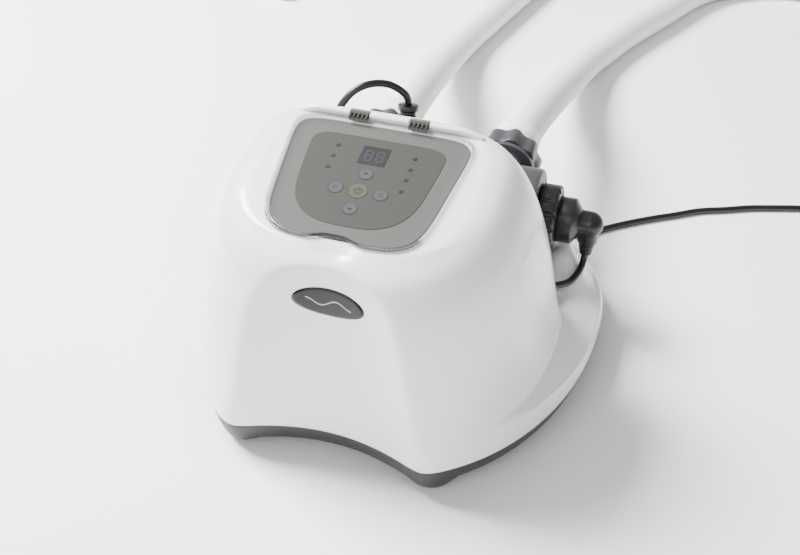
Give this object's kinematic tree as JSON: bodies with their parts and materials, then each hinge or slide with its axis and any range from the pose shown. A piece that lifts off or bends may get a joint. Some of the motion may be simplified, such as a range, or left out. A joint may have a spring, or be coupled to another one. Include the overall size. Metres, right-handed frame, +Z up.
{
  "type": "pool salt water chlorinator",
  "caption": "Floor standing pool chlorinator with a sloped control panel under a clear flap, a cell housing behind and two hoses.",
  "frame": {"origin": "on the floor under the middle of the white shell", "axes": "+Z up, -Y toward the badge and the front of the panel, +X to the side of the cell plug"},
  "size_m": [0.981, 1.3119, 0.2453],
  "materials": {
    "white_plastic": "fine moulded texture, satin",
    "dark_plastic": "satin moulded",
    "black_plastic": "satin moulded",
    "black_rubber": "smooth",
    "gloss_black": "polished",
    "warm_grey_plastic": "satin",
    "olive_film": "satin printed film",
    "display_tint": "polished tinted",
    "lens_plastic": "smooth",
    "button_green": "soft printed key",
    "button_blue": "soft printed key",
    "board": "solder mask",
    "steel": "zinc plated or stainless",
    "ribbon": "flat cable",
    "smoky_clear": "smoky clear polycarbonate",
    "core_steel": "varnished laminations",
    "bare_aluminium": "extruded",
    "capacitor_sleeve": "shrink sleeve",
    "wire_red": "wire insulation",
    "cell_plastic": "natural moulded",
    "electrode": "coated titanium"
  },
  "bodies": {
    "unit": {"main_shell": "white_plastic", "base_tray": "black_plastic", "foot_pads": "black_rubber", "base_screws": "steel", "badge": "gloss_black", "panel_bezel": "warm_grey_plastic", "panel_gasket": "black_rubber", "keypad_overlay": "olive_film", "display_window": "display_tint", "display_module": "black_plastic", "indicator_lenses": "lens_plastic", "tact_switches": "black_plastic", "control_board": "board", "board_screws": "steel", "buzzer": "black_plastic", "ribbon_cable": "ribbon", "hinge_rail": "white_plastic", "hinge_pin": "steel", "power_board": "board", "transformer": "core_steel", "heat_sink": "bare_aluminium", "capacitors": "capacitor_sleeve", "inner_wiring": "wire_red", "cell_housing": "dark_plastic", "housing_screws": "steel", "housing_end_cap": "dark_plastic", "cell_cartridge": "cell_plastic", "electrode_plates": "electrode", "cell_seal": "black_rubber", "cell_plug": "black_plastic", "cell_lead": "black_rubber", "cell_lead_gland": "black_plastic", "flow_sensor": "dark_plastic", "flow_sensor_seal": "black_rubber", "flow_plug": "black_plastic", "flow_lead": "black_rubber", "flow_lead_gland": "black_plastic", "hose_seals": "black_rubber", "hose_cuff_left": "white_plastic", "hose_cuff_right": "white_plastic", "hose_left": "white_plastic", "hose_right": "white_plastic", "hose_end_left": "white_plastic", "hose_end_right": "white_plastic", "mains_gland": "black_plastic", "mains_cord": "black_rubber", "mains_coil": "black_rubber", "coil_tie": "black_plastic", "mains_plug": "black_plastic"},
    "cover": {"clear_cover": "smoky_clear"},
    "key_center": {"button_center": "button_green"},
    "key_top": {"button_top": "button_blue"},
    "key_bottom": {"button_bottom": "button_blue"},
    "key_left": {"button_left": "button_blue"},
    "key_right": {"button_right": "button_blue"},
    "nut_left": {"union_nut_left": "dark_plastic"},
    "nut_right": {"union_nut_right": "dark_plastic"},
    "collar": {"cell_collar_nut": "black_plastic"},
    "paddle": {"flow_paddle": "cell_plastic"}
  },
  "joints": [
    {"name": "cover_hinge", "type": "hinge", "parent": "unit", "child": "cover", "pos_m": [0, -0.01067, 0.24171], "axis": [-1, 0, 0], "range_deg": [0, 110]},
    {"name": "key_center_press", "type": "slide", "parent": "unit", "child": "key_center", "axis": [0, 0.2164, -0.9763], "range_m": [0, 0.0008], "stiffness_N_per_m": 2000},
    {"name": "key_top_press", "type": "slide", "parent": "unit", "child": "key_top", "axis": [0, 0.2164, -0.9763], "range_m": [0, 0.0008], "stiffness_N_per_m": 2000},
    {"name": "key_bottom_press", "type": "slide", "parent": "unit", "child": "key_bottom", "axis": [0, 0.2164, -0.9763], "range_m": [0, 0.0008], "stiffness_N_per_m": 2000},
    {"name": "key_left_press", "type": "slide", "parent": "unit", "child": "key_left", "axis": [0, 0.2164, -0.9763], "range_m": [0, 0.0008], "stiffness_N_per_m": 2000},
    {"name": "key_right_press", "type": "slide", "parent": "unit", "child": "key_right", "axis": [0, 0.2164, -0.9763], "range_m": [0, 0.0008], "stiffness_N_per_m": 2000},
    {"name": "nut_left_turn", "type": "hinge", "parent": "unit", "child": "nut_left", "pos_m": [-0.064, 0.158, 0.112], "axis": [0, 1, 0], "continuous": true},
    {"name": "nut_right_turn", "type": "hinge", "parent": "unit", "child": "nut_right", "pos_m": [0.064, 0.158, 0.112], "axis": [0, 1, 0], "continuous": true},
    {"name": "collar_turn", "type": "hinge", "parent": "unit", "child": "collar", "pos_m": [0.122, 0.079, 0.112], "axis": [1, 0, 0], "continuous": true},
    {"name": "paddle_swing", "type": "hinge", "parent": "unit", "child": "paddle", "pos_m": [-0.02, 0.08276, 0.12652], "axis": [0, 0.9681, -0.2504], "range_deg": [0, 50], "stiffness_Nm_per_rad": 0.0004}
  ]
}
